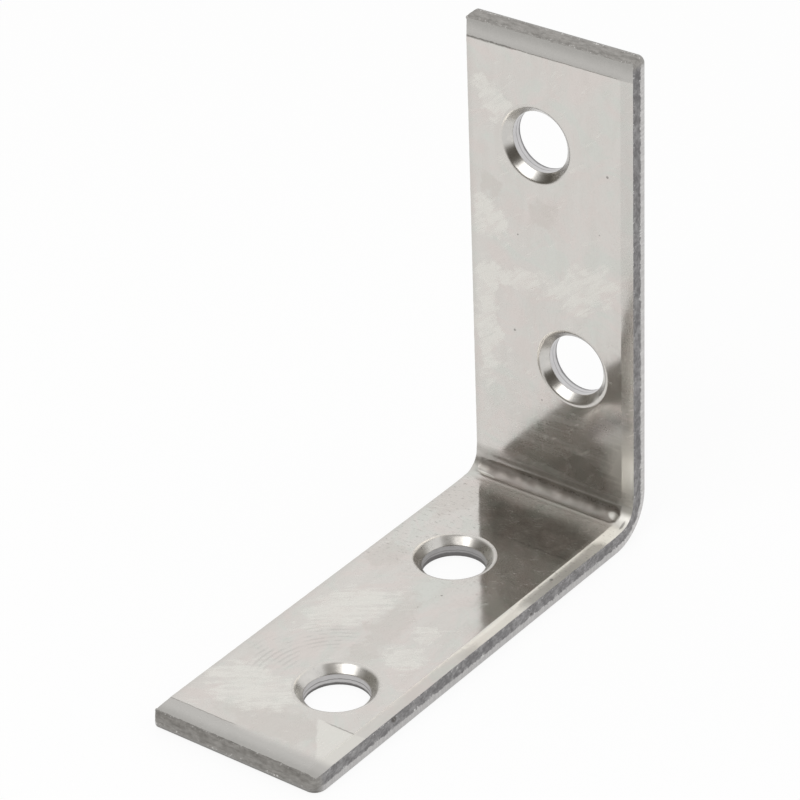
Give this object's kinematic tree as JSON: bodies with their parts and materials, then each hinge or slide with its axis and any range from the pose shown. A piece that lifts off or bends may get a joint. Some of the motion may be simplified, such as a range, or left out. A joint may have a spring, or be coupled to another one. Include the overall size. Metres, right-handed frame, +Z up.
{
  "type": "corner brace",
  "caption": "Right-angle brace folded from one steel strip, with staggered countersunk screw holes on the inner faces of both legs.",
  "frame": {"origin": "under the middle of the foot, in the plane that the foot stands on", "axes": "+X across the strip, +Y from the foot's tip towards the upright, +Z up the upright"},
  "size_m": [0.0182, 0.05, 0.0494],
  "materials": {
    "bright_steel": "bright rolled stainless strip with light handling scuffs"
  },
  "bodies": {
    "root": {"corner_brace": "bright_steel"}
  },
  "joints": []
}
